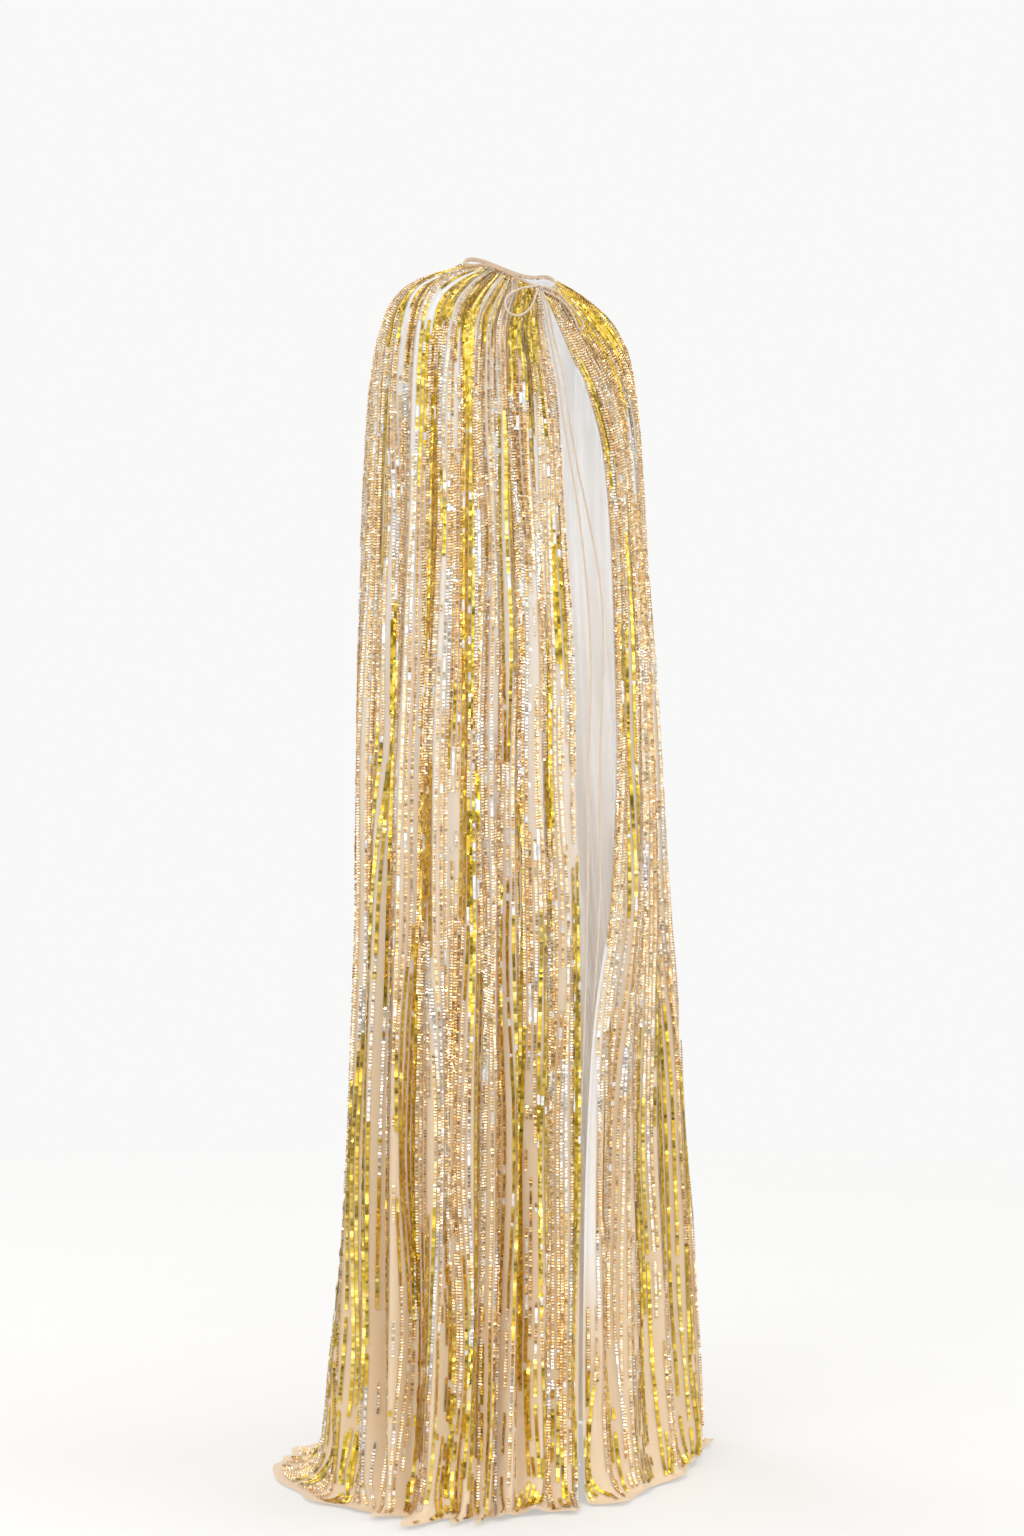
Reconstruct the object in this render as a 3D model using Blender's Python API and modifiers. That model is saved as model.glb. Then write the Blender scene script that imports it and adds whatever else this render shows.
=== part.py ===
"""A floor-length open cloak of gathered tulle, worn, tied at the throat with a thin cord.

Metres, +Z up. The front faces -Y and the wearer's left is +X. The origin is the centre of
the neck opening, where the wearer's neck and shoulders hold the cloak up.
"""

import math

import bmesh
import bpy
from mathutils import Vector

# Driving sizes
NECK_HEIGHT = 1.570
WALL = 0.0015
SEAM_GAP = 0.0006
CORD = 0.003
BINDING_HEIGHT = 0.004
BINDING_THICKNESS = 0.0030
KNOT_SIZE = (0.0097, 0.0085, 0.0090)

# Folds round the whole cloth, numbered from the right front edge by way of the back
FOLD_COUNT = 28
POINTS_PER_FOLD = 6
RIGHT_SEAM_FOLD = 6 + 1 / 3
LEFT_SEAM_FOLD = 22 - 1 / 3

# The cloth's sections from the neckline down to the hem, a row for each. Heights are
# above the floor, at the front, the sides and the back. "half_width" and "shift" are
# sideways, "front" and "back" are depths from the neck's centre, "right_edge" and
# "left_edge" are where the front opening's edges lie, "fold" is a fold's depth from
# crest to trough, and "lying" is how far the section lies on the floor.
SECTION_COLUMNS = (
    "front_height", "side_height", "back_height", "half_width", "shift",
    "front", "back", "right_edge", "left_edge", "fold", "lying",
)
SECTIONS = (
    (1.541, 1.571, 1.593, 0.060, 0.000, 0.060, 0.058, -0.0130, -0.0030, 0.0000, 0.0),
    (1.522, 1.564, 1.574, 0.093, 0.002, 0.066, 0.070, -0.0105, 0.0060, 0.0036, 0.0),
    (1.494, 1.550, 1.556, 0.137, 0.004, 0.073, 0.092, -0.0140, 0.0160, 0.0048, 0.0),
    (1.456, 1.527, 1.528, 0.177, 0.005, 0.088, 0.112, -0.0225, 0.0225, 0.0060, 0.0),
    (1.408, 1.490, 1.490, 0.196, 0.003, 0.108, 0.132, -0.0310, 0.0310, 0.0072, 0.0),
    (1.340, 1.428, 1.428, 0.202, 0.001, 0.125, 0.149, -0.0400, 0.0400, 0.0085, 0.0),
    (1.255, 1.330, 1.330, 0.205, 0.000, 0.136, 0.160, -0.0430, 0.0430, 0.0098, 0.0),
    (1.160, 1.210, 1.210, 0.209, 0.000, 0.144, 0.166, -0.0420, 0.0420, 0.0110, 0.0),
    (1.045, 1.070, 1.070, 0.220, 0.002, 0.149, 0.162, -0.0390, 0.0390, 0.0125, 0.0),
    (0.900, 0.910, 0.910, 0.233, 0.004, 0.150, 0.152, -0.0380, 0.0390, 0.0145, 0.0),
    (0.750, 0.750, 0.750, 0.244, 0.010, 0.149, 0.144, -0.0320, 0.0290, 0.0165, 0.0),
    (0.600, 0.600, 0.600, 0.257, 0.018, 0.147, 0.145, -0.0280, -0.0010, 0.0190, 0.0),
    (0.440, 0.440, 0.440, 0.268, 0.025, 0.144, 0.160, -0.0250, -0.0120, 0.0215, 0.0),
    (0.290, 0.290, 0.290, 0.276, 0.031, 0.148, 0.184, -0.0275, -0.0205, 0.0240, 0.0),
    (0.150, 0.155, 0.160, 0.278, 0.033, 0.158, 0.210, -0.0385, -0.0325, 0.0255, 0.0),
    (0.055, 0.060, 0.070, 0.277, 0.033, 0.168, 0.232, -0.0480, -0.0400, 0.0250, 0.1),
    (0.015, 0.016, 0.022, 0.278, 0.031, 0.176, 0.252, -0.0560, -0.0450, 0.0190, 0.5),
    (0.003, 0.003, 0.004, 0.282, 0.029, 0.183, 0.276, -0.0620, -0.0480, 0.0110, 1.0),
    (0.002, 0.002, 0.002, 0.287, 0.028, 0.190, 0.304, -0.0680, -0.0500, 0.0080, 1.0),
)
HEM = len(SECTIONS) - 1
# The hem reaches this much further where a fold spreads on the floor
HEM_LOBE = 0.018

# Routes of the bow's loops and the hanging tails: sideways, depth in front of the neck's
# centre, height above the floor. The tails hang in the opening and, low down, behind the
# left front's edge.
CORD_COLUMNS = ("side", "front", "height")
RIGHT_LOOP = (
    (-0.0127, 0.0620, 1.5431),
    (-0.0192, 0.0650, 1.5385),
    (-0.0269, 0.0684, 1.5300),
    (-0.0335, 0.0708, 1.5211),
    (-0.0462, 0.0728, 1.5099),
    (-0.0657, 0.0742, 1.5013),
    (-0.0778, 0.0724, 1.5025),
    (-0.0827, 0.0689, 1.5087),
    (-0.0810, 0.0655, 1.5181),
    (-0.0738, 0.0640, 1.5269),
    (-0.0603, 0.0635, 1.5345),
    (-0.0483, 0.0635, 1.5395),
    (-0.0336, 0.0640, 1.5430),
    (-0.0200, 0.0645, 1.5465),
    (-0.0129, 0.0619, 1.5476),
)
LEFT_LOOP = (
    (-0.0031, 0.0620, 1.5476),
    (0.0056, 0.0650, 1.5462),
    (0.0218, 0.0650, 1.5430),
    (0.0332, 0.0665, 1.5348),
    (0.0454, 0.0690, 1.5250),
    (0.0556, 0.0715, 1.5130),
    (0.0612, 0.0742, 1.5035),
    (0.0616, 0.0756, 1.4985),
    (0.0570, 0.0756, 1.4990),
    (0.0486, 0.0725, 1.5115),
    (0.0370, 0.0700, 1.5235),
    (0.0250, 0.0672, 1.5330),
    (0.0120, 0.0660, 1.5380),
    (-0.0031, 0.0626, 1.5427),
)
RIGHT_TAIL = (
    (-0.0100, 0.0620, 1.5417),
    (-0.0110, 0.0685, 1.5300),
    (-0.0122, 0.0730, 1.5190),
    (-0.0170, 0.0865, 1.4760),
    (-0.0250, 0.1060, 1.4250),
    (-0.0320, 0.1225, 1.3640),
    (-0.0285, 0.1325, 1.3050),
    (-0.0215, 0.1405, 1.2350),
    (-0.0150, 0.1465, 1.1500),
    (-0.0105, 0.1490, 1.0500),
    (-0.0160, 0.1500, 0.9000),
    (-0.0175, 0.1490, 0.7500),
    (-0.0170, 0.1430, 0.6000),
    (-0.0160, 0.1360, 0.4700),
    (-0.0150, 0.1320, 0.3700),
)
LEFT_TAIL = (
    (-0.0060, 0.0620, 1.5417),
    (-0.0055, 0.0685, 1.5300),
    (-0.0055, 0.0735, 1.5180),
    (-0.0085, 0.0850, 1.4800),
    (-0.0140, 0.1050, 1.4300),
    (-0.0200, 0.1230, 1.3620),
    (-0.0170, 0.1320, 1.3100),
    (-0.0050, 0.1400, 1.2450),
    (0.0110, 0.1465, 1.1600),
    (0.0140, 0.1490, 1.0800),
    (0.0068, 0.1500, 0.9300),
    (0.0065, 0.1490, 0.7600),
    (0.0040, 0.1410, 0.6200),
    (0.0020, 0.1350, 0.5000),
    (0.0010, 0.1310, 0.4000),
)
TAIL_POINTS = 66
LOOP_POINTS = 26

QUARTER_SAMPLES = 60
STEP = 1e-3


def smooth_row(rows, place):
    """A table's row at a place between its rows, on a smooth curve through them."""
    last = len(rows) - 1
    place = min(max(place, 0.0), float(last))
    low = min(int(place), last - 1)
    t = place - low
    before, start, end, after = (
        rows[max(low - 1, 0)], rows[low], rows[low + 1], rows[min(low + 2, last)],
    )
    found = []
    for a, b, c, d in zip(before, start, end, after):
        slope_in, slope_out = (c - a) / 2, (d - b) / 2
        if (c - b) * slope_in <= 0:
            slope_in = 0.0
        if (c - b) * slope_out <= 0:
            slope_out = 0.0
        cubic = 2 * (b - c) + slope_in + slope_out
        square = -3 * (b - c) - 2 * slope_in - slope_out
        found.append(((cubic * t + square) * t + slope_in) * t + b)
    return found


def section_at(level):
    """The cloth's section at a level from 0 at the neckline to HEM, as named sizes."""
    return dict(zip(SECTION_COLUMNS, smooth_row(SECTIONS, level)))


def ring_point(section, angle):
    """A point of a section's smooth outline. Angle 0 is the front, a quarter turn the right."""
    ahead = math.cos(angle)
    depth = section["front"] if ahead > 0 else section["back"]
    end_height = section["front_height"] if ahead > 0 else section["back_height"]
    height = section["side_height"] + (end_height - section["side_height"]) * ahead**2
    side = section["shift"] - section["half_width"] * math.sin(angle)
    return Vector((side, -depth * ahead, height - NECK_HEIGHT))


RING_CACHE = {}


def ring(level):
    """A section's outline from edge to edge: points and their shares of the cloth's width.

    Each quarter of the cloth takes a quarter of its width, so the folds hang straight down.
    """
    key = round(level, 6)
    if key not in RING_CACHE:
        section = section_at(level)
        width, shift = section["half_width"], section["shift"]
        turn = math.pi / 2
        first = math.asin((shift - section["right_edge"]) / width)
        last = 4 * turn - math.asin((section["left_edge"] - shift) / width)
        points, shares = [ring_point(section, first)], [0.0]
        for start, end in ((first, turn), (turn, 2 * turn), (2 * turn, 3 * turn), (3 * turn, last)):
            lengths = [0.0]
            for i in range(1, QUARTER_SAMPLES + 1):
                angle = start + (end - start) * i / QUARTER_SAMPLES
                points.append(ring_point(section, angle))
                lengths.append(lengths[-1] + (points[-1] - points[-2]).length)
            done = shares[-1]
            shares += [done + length / lengths[-1] / 4 for length in lengths[1:]]
        RING_CACHE[key] = (points, shares)
    return RING_CACHE[key]


def smooth_point(share, level):
    """The cloth without its folds: a share of its width, from the right edge, at a level."""
    points, shares = ring(level)
    if share <= 0:
        return points[0] + (points[0] - points[1]) * (-share / (shares[1] - shares[0]))
    if share >= 1:
        run = (share - 1) / (shares[-1] - shares[-2])
        return points[-1] + (points[-1] - points[-2]) * run
    low, high = 0, len(points) - 1
    while high - low > 1:
        middle = (low + high) // 2
        if shares[middle] <= share:
            low = middle
        else:
            high = middle
    part = (share - shares[low]) / (shares[high] - shares[low])
    return points[low].lerp(points[high], part)


def outward(share, level):
    """The direction out of the smooth cloth."""
    across = smooth_point(share + STEP, level) - smooth_point(share - STEP, level)
    high, low = max(level - STEP, 0.0), min(level + STEP, float(HEM))
    down = smooth_point(share, low) - smooth_point(share, high)
    return across.cross(down).normalized()


def fold_unevenness(fold):
    """How far the folds are from even spacing, in folds."""
    turn = 2 * math.pi * fold / FOLD_COUNT
    return 0.30 * math.sin(3 * turn + 1.1) + 0.18 * math.sin(7 * turn + 4.0)


def share_of_fold(fold):
    """Where a fold lies, as a share of the cloth's width."""
    return (fold + fold_unevenness(fold) - fold_unevenness(0.0)) / FOLD_COUNT


def fold_strength(fold):
    """Deep and shallow folds, and none at the front edges."""
    turn = 2 * math.pi * fold / FOLD_COUNT
    uneven = 1 + 0.30 * math.sin(5 * turn + 0.6) + 0.20 * math.sin(9 * turn + 2.2)
    from_edge = min(1.0, fold / 1.5, (FOLD_COUNT - fold) / 1.5)
    return uneven * max(0.0, from_edge)


def cloth_point(fold, level):
    """A point on the cloth's outer face: a fold number and a level."""
    share = share_of_fold(fold)
    section = section_at(level)
    wave = 0.5 - 0.5 * math.cos(2 * math.pi * fold)
    centred = 0.5 * (1 - section["lying"])
    depth = section["fold"] * fold_strength(fold) * (wave - centred)
    out = outward(share, level)
    point = smooth_point(share, level) + out * depth
    spread = HEM_LOBE * section["lying"] * wave * max(0.0, level - HEM + 2) / 2
    flat = Vector((point.x, point.y, 0)).normalized()
    point += flat * spread
    point.z += WALL
    return point


def new_object(name, data, material_name, colour, roughness):
    thing = bpy.data.objects.new(name, data)
    PARTS.objects.link(thing)
    material = bpy.data.materials.get(material_name)
    if material is None:
        material = bpy.data.materials.new(material_name)
        material.use_nodes = True
        surface = material.node_tree.nodes["Principled BSDF"]
        surface.inputs["Base Color"].default_value = (*colour, 1)
        surface.inputs["Roughness"].default_value = roughness
    data.materials.append(material)
    return thing


def sequinned_tulle(name, mesh):
    return new_object(name, mesh, "sequinned_tulle", (0.80, 0.62, 0.38), 0.35)


def beige_binding(name, data):
    return new_object(name, data, "beige_binding", (0.87, 0.74, 0.60), 0.65)


def cloth_normal(fold, level):
    """The direction out of the folded cloth."""
    across = cloth_point(fold + 0.1, level) - cloth_point(fold - 0.1, level)
    high, low = max(level - 0.5, 0.0), min(level + 0.5, float(HEM))
    down = cloth_point(fold, low) - cloth_point(fold, high)
    return across.cross(down).normalized()


def panel(name, first_fold, last_fold):
    """A cloth panel between two fold numbers: an outer and an inner face, sewn round the rim."""
    columns = round((last_fold - first_fold) * POINTS_PER_FOLD)
    form = bmesh.new()
    outer, inner = [], []
    for column in range(columns + 1):
        fold = first_fold + (last_fold - first_fold) * column / columns
        sides = (column == 0 and first_fold > 0) - (
            column == columns and last_fold < FOLD_COUNT
        )
        for level in range(HEM + 1):
            point = cloth_point(fold, level)
            ahead = (cloth_point(fold + STEP, level) - point).normalized()
            point += ahead * sides * SEAM_GAP / 2
            outer.append(form.verts.new(point))
            inner.append(form.verts.new(point - cloth_normal(fold, level) * WALL))
    rows = HEM + 1

    def face(a, b, c, d):
        form.faces.new((a, b, c, d))

    for column in range(columns):
        for level in range(HEM):
            a = column * rows + level
            b = a + rows
            face(outer[a], outer[b], outer[b + 1], outer[a + 1])
            face(inner[a], inner[a + 1], inner[b + 1], inner[b])
        top, next_top = column * rows, (column + 1) * rows
        face(outer[top], inner[top], inner[next_top], outer[next_top])
        end, next_end = top + HEM, next_top + HEM
        face(outer[end], outer[next_end], inner[next_end], inner[end])
    for level in range(HEM):
        last = columns * rows + level
        face(outer[level], outer[level + 1], inner[level + 1], inner[level])
        face(outer[last], inner[last], inner[last + 1], outer[last + 1])
    mesh = bpy.data.meshes.new(name)
    form.to_mesh(mesh)
    form.free()
    mesh.shade_smooth()
    return sequinned_tulle(name, mesh)


def neck_binding():
    """The tape round the neckline, standing on the gathers, open at the throat."""
    columns = 60
    form = bmesh.new()
    bmesh.ops.create_grid(form, x_segments=columns, y_segments=1, size=1)
    for vert in form.verts:
        share = (vert.co.x + 1) / 2
        rise = WALL + SEAM_GAP + BINDING_HEIGHT * (vert.co.y + 1) / 2
        base = smooth_point(share, 0.0)
        inwards = Vector((-base.x, -base.y, 0)).normalized() * 0.1 * rise
        vert.co = base + Vector((0, 0, rise)) + inwards
    mesh = bpy.data.meshes.new("neck_binding")
    form.to_mesh(mesh)
    form.free()
    mesh.shade_smooth()
    tape = beige_binding("neck_binding", mesh)
    wall = tape.modifiers.new("wall", "SOLIDIFY")
    wall.thickness = BINDING_THICKNESS
    wall.offset = 0
    rounded = tape.modifiers.new("rounded", "BEVEL")
    rounded.width = 0.0007
    rounded.segments = 1
    rounded.limit_method = "ANGLE"
    return tape


def bow_knot():
    """The knot that closes the neck, between the binding's two ends."""
    form = bmesh.new()
    bmesh.ops.create_uvsphere(form, u_segments=16, v_segments=10, radius=0.5)
    bmesh.ops.scale(form, vec=KNOT_SIZE, verts=form.verts)
    mesh = bpy.data.meshes.new("bow_knot")
    form.to_mesh(mesh)
    form.free()
    mesh.shade_smooth()
    knot = beige_binding("bow_knot", mesh)
    knot.location = KNOT_PLACE
    return knot


def cord(name, points):
    """A round cord along its points, with closed ends."""
    curve = bpy.data.curves.new(name, "CURVE")
    curve.dimensions = "3D"
    curve.bevel_depth = CORD / 2
    curve.bevel_resolution = 2
    curve.use_fill_caps = True
    spline = curve.splines.new("POLY")
    spline.points.add(len(points) - 1)
    for place, point in zip(spline.points, points):
        place.co = (*point, 1)
    return beige_binding(name, curve)


def along(rows, count):
    """Evenly counted places on the smooth curve through a table's rows."""
    last = len(rows) - 1
    return [smooth_row(rows, last * i / (count - 1)) for i in range(count)]


def route(rows, count):
    """A cord's points along its table."""
    return [
        Vector((side, -front, height - NECK_HEIGHT))
        for side, front, height in along(rows, count)
    ]


for old in list(bpy.data.objects):
    bpy.data.objects.remove(old)
PARTS = bpy.data.collections.new("cloak")
bpy.context.scene.collection.children.link(PARTS)

THROAT = smooth_point(0.0, 0.0).lerp(smooth_point(1.0, 0.0), 0.5)
KNOT_PLACE = THROAT + Vector((0, -0.0005, WALL + SEAM_GAP + BINDING_HEIGHT / 2))

panel("front_right", 0.0, RIGHT_SEAM_FOLD)
panel("back", RIGHT_SEAM_FOLD, LEFT_SEAM_FOLD)
panel("front_left", LEFT_SEAM_FOLD, float(FOLD_COUNT))
neck_binding()
bow_knot()
cord("bow_loop_right", route(RIGHT_LOOP, LOOP_POINTS))
cord("bow_loop_left", route(LEFT_LOOP, LOOP_POINTS))
cord("tie_tail_right", route(RIGHT_TAIL, TAIL_POINTS))
cord("tie_tail_left", route(LEFT_TAIL, TAIL_POINTS))
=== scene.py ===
"""A floor-length open cloak of sequinned tulle, worn, tied at the throat with a thin cord.

Metres, +Z up. The front faces -Y and the wearer's left is +X. The origin is the centre of
the neck opening.
"""

import math

import bpy
import numpy as np
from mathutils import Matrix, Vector


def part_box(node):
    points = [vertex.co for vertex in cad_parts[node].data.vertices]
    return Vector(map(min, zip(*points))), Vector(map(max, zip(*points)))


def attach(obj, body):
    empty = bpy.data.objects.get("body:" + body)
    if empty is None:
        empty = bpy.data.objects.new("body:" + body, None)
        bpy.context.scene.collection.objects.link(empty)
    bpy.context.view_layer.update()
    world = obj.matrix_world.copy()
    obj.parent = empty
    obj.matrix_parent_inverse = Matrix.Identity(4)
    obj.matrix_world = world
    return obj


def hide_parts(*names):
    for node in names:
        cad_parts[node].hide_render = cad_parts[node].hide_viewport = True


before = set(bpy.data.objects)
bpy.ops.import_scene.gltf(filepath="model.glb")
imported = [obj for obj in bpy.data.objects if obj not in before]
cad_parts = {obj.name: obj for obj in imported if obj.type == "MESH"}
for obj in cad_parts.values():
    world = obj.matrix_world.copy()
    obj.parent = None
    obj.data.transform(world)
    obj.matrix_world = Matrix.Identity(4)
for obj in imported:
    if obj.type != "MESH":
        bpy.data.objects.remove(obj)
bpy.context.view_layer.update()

# The camera stands level at the wearer's front right, a little over half as high as the
# neck, and looks across the front opening at the left front's inner side.
CAMERA_PLACE = (-2.792, -2.5185, -0.645)
CAMERA_LOOKS = (0.743, 0.669, 0.0)
camera_data = bpy.data.cameras.new("camera")
camera_data.sensor_width = 36.0
camera_data.lens = 67.34
camera = bpy.data.objects.new("camera", camera_data)
camera.location = CAMERA_PLACE
camera.rotation_euler = Vector(CAMERA_LOOKS).to_track_quat("-Z", "Y").to_euler()
bpy.context.scene.collection.objects.link(camera)
bpy.context.scene.camera = camera

# The tie: one soft rouleau cord, turned from a bias strip of beige crepe. It runs out of the
# binding, makes a bow with a round loop on each side, and its two long tails hang in the
# front opening. Their ends are closed round. Routes are sideways, ahead and above the floor.
NECK_HEIGHT = 1.570
CORD_THICKNESS = 0.003
RIGHT_LOOP = (
    (-0.0127, 0.0620, 1.5431),
    (-0.0192, 0.0650, 1.5385),
    (-0.0269, 0.0684, 1.5300),
    (-0.0335, 0.0708, 1.5211),
    (-0.0462, 0.0728, 1.5099),
    (-0.0657, 0.0742, 1.5013),
    (-0.0778, 0.0724, 1.5025),
    (-0.0827, 0.0689, 1.5087),
    (-0.0810, 0.0655, 1.5181),
    (-0.0738, 0.0640, 1.5269),
    (-0.0603, 0.0635, 1.5345),
    (-0.0483, 0.0635, 1.5395),
    (-0.0336, 0.0640, 1.5430),
    (-0.0200, 0.0645, 1.5465),
    (-0.0129, 0.0619, 1.5476),
)
LEFT_LOOP = (
    (-0.0031, 0.0620, 1.5476),
    (0.0056, 0.0650, 1.5462),
    (0.0218, 0.0650, 1.5430),
    (0.0332, 0.0665, 1.5348),
    (0.0396, 0.0677, 1.5298),
    (0.0459, 0.0689, 1.5247),
    (0.0516, 0.0701, 1.5196),
    (0.0559, 0.0710, 1.5155),
    (0.0592, 0.0718, 1.5121),
    (0.0616, 0.0725, 1.5094),
    (0.0629, 0.0732, 1.5062),
    (0.0627, 0.0738, 1.5028),
    (0.0611, 0.0745, 1.4998),
    (0.0584, 0.0752, 1.4978),
    (0.0551, 0.0752, 1.4971),
    (0.0518, 0.0752, 1.4979),
    (0.0491, 0.0752, 1.5000),
    (0.0476, 0.0750, 1.5031),
    (0.0466, 0.0741, 1.5070),
    (0.0449, 0.0731, 1.5117),
    (0.0421, 0.0718, 1.5170),
    (0.0376, 0.0703, 1.5229),
    (0.0317, 0.0688, 1.5285),
    (0.0250, 0.0672, 1.5330),
    (0.0120, 0.0660, 1.5380),
    (-0.0031, 0.0626, 1.5427),
)
RIGHT_TAIL = (
    (-0.0100, 0.0620, 1.5417),
    (-0.0110, 0.0685, 1.5300),
    (-0.0122, 0.0730, 1.5190),
    (-0.0170, 0.0865, 1.4760),
    (-0.0250, 0.1060, 1.4250),
    (-0.0320, 0.1225, 1.3640),
    (-0.0285, 0.1325, 1.3050),
    (-0.0215, 0.1405, 1.2350),
    (-0.0150, 0.1465, 1.1500),
    (-0.0105, 0.1490, 1.0500),
    (-0.0160, 0.1500, 0.9000),
    (-0.0175, 0.1490, 0.7500),
    (-0.0170, 0.1430, 0.6000),
    (-0.0160, 0.1360, 0.4700),
    (-0.0150, 0.1320, 0.3700),
)
LEFT_TAIL = (
    (-0.0060, 0.0620, 1.5417),
    (-0.0055, 0.0685, 1.5300),
    (-0.0055, 0.0735, 1.5180),
    (-0.0085, 0.0850, 1.4800),
    (-0.0140, 0.1050, 1.4300),
    (-0.0200, 0.1230, 1.3620),
    (-0.0170, 0.1320, 1.3100),
    (-0.0050, 0.1400, 1.2450),
    (0.0110, 0.1465, 1.1600),
    (0.0140, 0.1490, 1.0800),
    (0.0068, 0.1500, 0.9300),
    (0.0065, 0.1490, 0.7600),
    (0.0040, 0.1410, 0.6200),
    (0.0020, 0.1350, 0.5000),
    (0.0010, 0.1310, 0.4000),
)
TAIL_POINTS = 160
LOOP_POINTS = 72
# How far before its tip a free end is drawn in, and how wide it is there, in radii
TIP_STEPS = (0.9, 0.6, 0.35, 0.15, 0.0)
TIP_WIDTHS = (1.0, 0.92, 0.76, 0.53, 0.12)


def smooth_rows(rows, places):
    """A table's rows at places between its rows, on a smooth curve through them."""
    rows = np.asarray(rows, float)
    last = len(rows) - 1
    places = np.clip(np.asarray(places, float), 0, last)
    low = np.minimum(places.astype(int), last - 1)
    part = (places - low)[:, None]
    before, start = rows[np.maximum(low - 1, 0)], rows[low]
    end, after = rows[low + 1], rows[np.minimum(low + 2, last)]
    step = end - start
    slope_in, slope_out = (end - before) / 2, (after - start) / 2
    slope_in = np.where(step * slope_in > 0, slope_in, 0.0)
    slope_out = np.where(step * slope_out > 0, slope_out, 0.0)
    cubic = slope_in + slope_out - 2 * step
    square = 3 * step - 2 * slope_in - slope_out
    return ((cubic * part + square) * part + slope_in) * part + start


def new_material(name, **values):
    """A material and its Principled shader, with plain values on the shader's own sockets."""
    material = bpy.data.materials.new(name)
    material.use_nodes = True
    surface = material.node_tree.nodes["Principled BSDF"]
    for socket, value in values.items():
        surface.inputs[socket.replace("_", " ")].default_value = value
    return material, surface


def add_node(tree, kind, **settings):
    """A shader node with its settings and its unlinked inputs."""
    node = tree.nodes.new(kind)
    for name, value in settings.items():
        if name != "inputs":
            setattr(node, name, value)
    for name, value in settings.get("inputs", {}).items():
        node.inputs[name].default_value = value
    return node


def link(start, end):
    start.id_data.links.new(start, end)


def mix_colours(tree, share, start, end):
    """A colour between two, each of them a plain colour or another node's."""
    mix = add_node(tree, "ShaderNodeMix", data_type="RGBA")
    link(share, mix.inputs["Factor"])
    for socket, colour in (("A", start), ("B", end)):
        if isinstance(colour, tuple):
            mix.inputs[socket].default_value = colour
        else:
            link(colour, mix.inputs[socket])
    return mix.outputs["Result"]


def new_group(name, inputs, outputs):
    """A shader node group with its sockets, and the nodes that hold them inside it."""
    group = bpy.data.node_groups.new(name, "ShaderNodeTree")
    for direction, sockets in (("INPUT", inputs), ("OUTPUT", outputs)):
        for socket, kind in sockets.items():
            group.interface.new_socket(socket, in_out=direction, socket_type="NodeSocket" + kind)
    return group, add_node(group, "NodeGroupInput"), add_node(group, "NodeGroupOutput")


# Crepe's weave: fine ribs that cross, and a colour that varies softly along the piece
WEAVE, weave_in, weave_out = new_group(
    "crepe_weave", {"Place": "Vector", "Colour": "Color", "Shade": "Color", "Ribs": "Float"},
    {"Colour": "Color", "Height": "Float"},
)
cloudy = add_node(WEAVE, "ShaderNodeTexNoise", inputs={"Scale": 90.0, "Detail": 3.0})
link(weave_in.outputs["Place"], cloudy.inputs["Vector"])
weave_tint = mix_colours(
    WEAVE, cloudy.outputs["Fac"], weave_in.outputs["Colour"], weave_in.outputs["Shade"]
)
link(weave_tint, weave_out.inputs["Colour"])
crossed = add_node(WEAVE, "ShaderNodeMath", operation="MULTIPLY")
for number, axis in enumerate(("X", "Z")):
    ribs = add_node(
        WEAVE, "ShaderNodeTexWave", bands_direction=axis,
        inputs={"Distortion": 1.5, "Detail": 1.0},
    )
    link(weave_in.outputs["Place"], ribs.inputs["Vector"])
    link(weave_in.outputs["Ribs"], ribs.inputs["Scale"])
    link(ribs.outputs["Fac"], crossed.inputs[number])
link(crossed.outputs[0], weave_out.inputs["Height"])


def crepe(name, colour, shade, rib_scale):
    """Matt crepe of a colour and a shade. The greater the scale, the finer its ribs."""
    material, surface = new_material(name, Roughness=0.72, Sheen_Weight=0.25)
    nodes = material.node_tree
    place = add_node(nodes, "ShaderNodeTexCoord")
    weave = add_node(
        nodes, "ShaderNodeGroup", node_tree=WEAVE,
        inputs={"Colour": (*colour, 1), "Shade": (*shade, 1), "Ribs": rib_scale},
    )
    link(place.outputs["Object"], weave.inputs["Place"])
    link(weave.outputs["Colour"], surface.inputs["Base Color"])
    bump = add_node(nodes, "ShaderNodeBump", inputs={"Strength": 0.5, "Distance": 0.0002})
    link(weave.outputs["Height"], bump.inputs["Height"])
    link(bump.outputs["Normal"], surface.inputs["Normal"])
    return material


CORD_CREPE = crepe("cord_crepe", (0.86, 0.73, 0.60), (0.74, 0.59, 0.46), 900.0)


def tie_cord(name, node, rows, count, free_end):
    """A round cord along its route. A free end is drawn in to a round tip."""
    last = len(rows) - 1
    route = smooth_rows(rows, np.linspace(0, last, count))
    points = np.column_stack((route[:, 0], -route[:, 1], route[:, 2] - NECK_HEIGHT))
    curve = bpy.data.curves.new(name, "CURVE")
    curve.dimensions = "3D"
    curve.bevel_depth = CORD_THICKNESS / 2
    curve.bevel_resolution = 4
    curve.use_fill_caps = True
    spline = curve.splines.new("POLY")
    if free_end:
        tip = points[-1]
        back = points[-2] - tip
        back /= np.linalg.norm(back)
        steps = np.array(TIP_STEPS) * CORD_THICKNESS / 2
        points = np.vstack((points[:-1], tip + steps[:, None] * back))
    spline.points.add(len(points) - 1)
    for place, point in zip(spline.points, points):
        place.co = (*point, 1)
    if free_end:
        for place, width in zip(spline.points[-len(TIP_WIDTHS):], TIP_WIDTHS):
            place.radius = width
    curve.materials.append(CORD_CREPE)
    cord = bpy.data.objects.new(name, curve)
    bpy.context.scene.collection.objects.link(cord)
    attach(cord, "root")
    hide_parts(node)


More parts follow.
